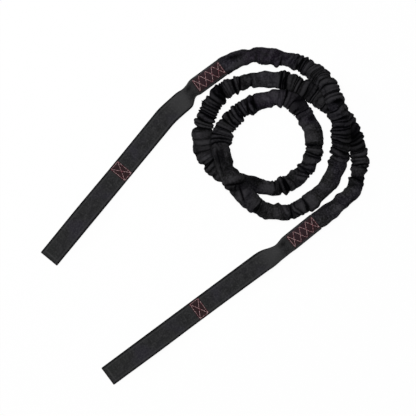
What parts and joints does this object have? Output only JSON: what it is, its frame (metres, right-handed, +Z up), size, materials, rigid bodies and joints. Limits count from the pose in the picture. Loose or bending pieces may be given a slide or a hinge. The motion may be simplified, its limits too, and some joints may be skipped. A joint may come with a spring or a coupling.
{
  "type": "ankle resistance band",
  "caption": "Elastic resistance band: a stretchy tube in a gathered fabric sleeve, sewn at each end into a flat webbing strap that is stitched into an ankle loop and a grip loop.",
  "frame": {"origin": "middle of the laid-out band's footprint, on the surface that it lies on", "axes": "+Z up from that surface, +Y away from the straps' ends and towards the top of the picture, +X to the right in it"},
  "size_m": [0.392, 0.4038, 0.0348],
  "materials": {
    "webbing": "woven polyester webbing, near black, dull",
    "sleeve_fabric": "gathered woven nylon, near black with a slight violet cast, soft sheen",
    "latex": "natural latex tubing, amber, smooth",
    "thread": "bonded sewing thread, dull red"
  },
  "bodies": {
    "band": {"sleeve": "sleeve_fabric", "latex_tube": "latex"},
    "end_a": {"upper_tail_a": "webbing", "lower_tail_a": "webbing", "crosses_needle_thread_a": "thread", "crosses_bobbin_thread_a": "thread"},
    "strap_a": {"webbing_loops_a": "webbing", "box_needle_thread_a": "thread", "box_bobbin_thread_a": "thread"},
    "end_b": {"upper_tail_b": "webbing", "lower_tail_b": "webbing", "crosses_needle_thread_b": "thread", "crosses_bobbin_thread_b": "thread"},
    "strap_b": {"webbing_loops_b": "webbing", "box_needle_thread_b": "thread", "box_bobbin_thread_b": "thread"}
  },
  "joints": [
    {"name": "stretch_a", "type": "slide", "parent": "band", "child": "end_a", "axis": [-0.807, -0.5906, 0], "range_m": [0, 0.08], "stiffness_N_per_m": 100, "deforming": ["sleeve", "latex_tube"]},
    {"name": "fold_a", "type": "hinge", "parent": "end_a", "child": "strap_a", "pos_m": [-0.01604, 0.14871, 0.01717], "axis": [-0.619, 0.7854, 0], "range_deg": [0, 150]},
    {"name": "stretch_b", "type": "slide", "parent": "band", "child": "end_b", "axis": [-0.7793, -0.6266, 0], "range_m": [0, 0.08], "stiffness_N_per_m": 100, "deforming": ["sleeve", "latex_tube"]},
    {"name": "fold_b", "type": "hinge", "parent": "end_b", "child": "strap_b", "pos_m": [0.09656, -0.03668, 0.01717], "axis": [-0.6223, 0.7828, 0], "range_deg": [0, 150]}
  ]
}
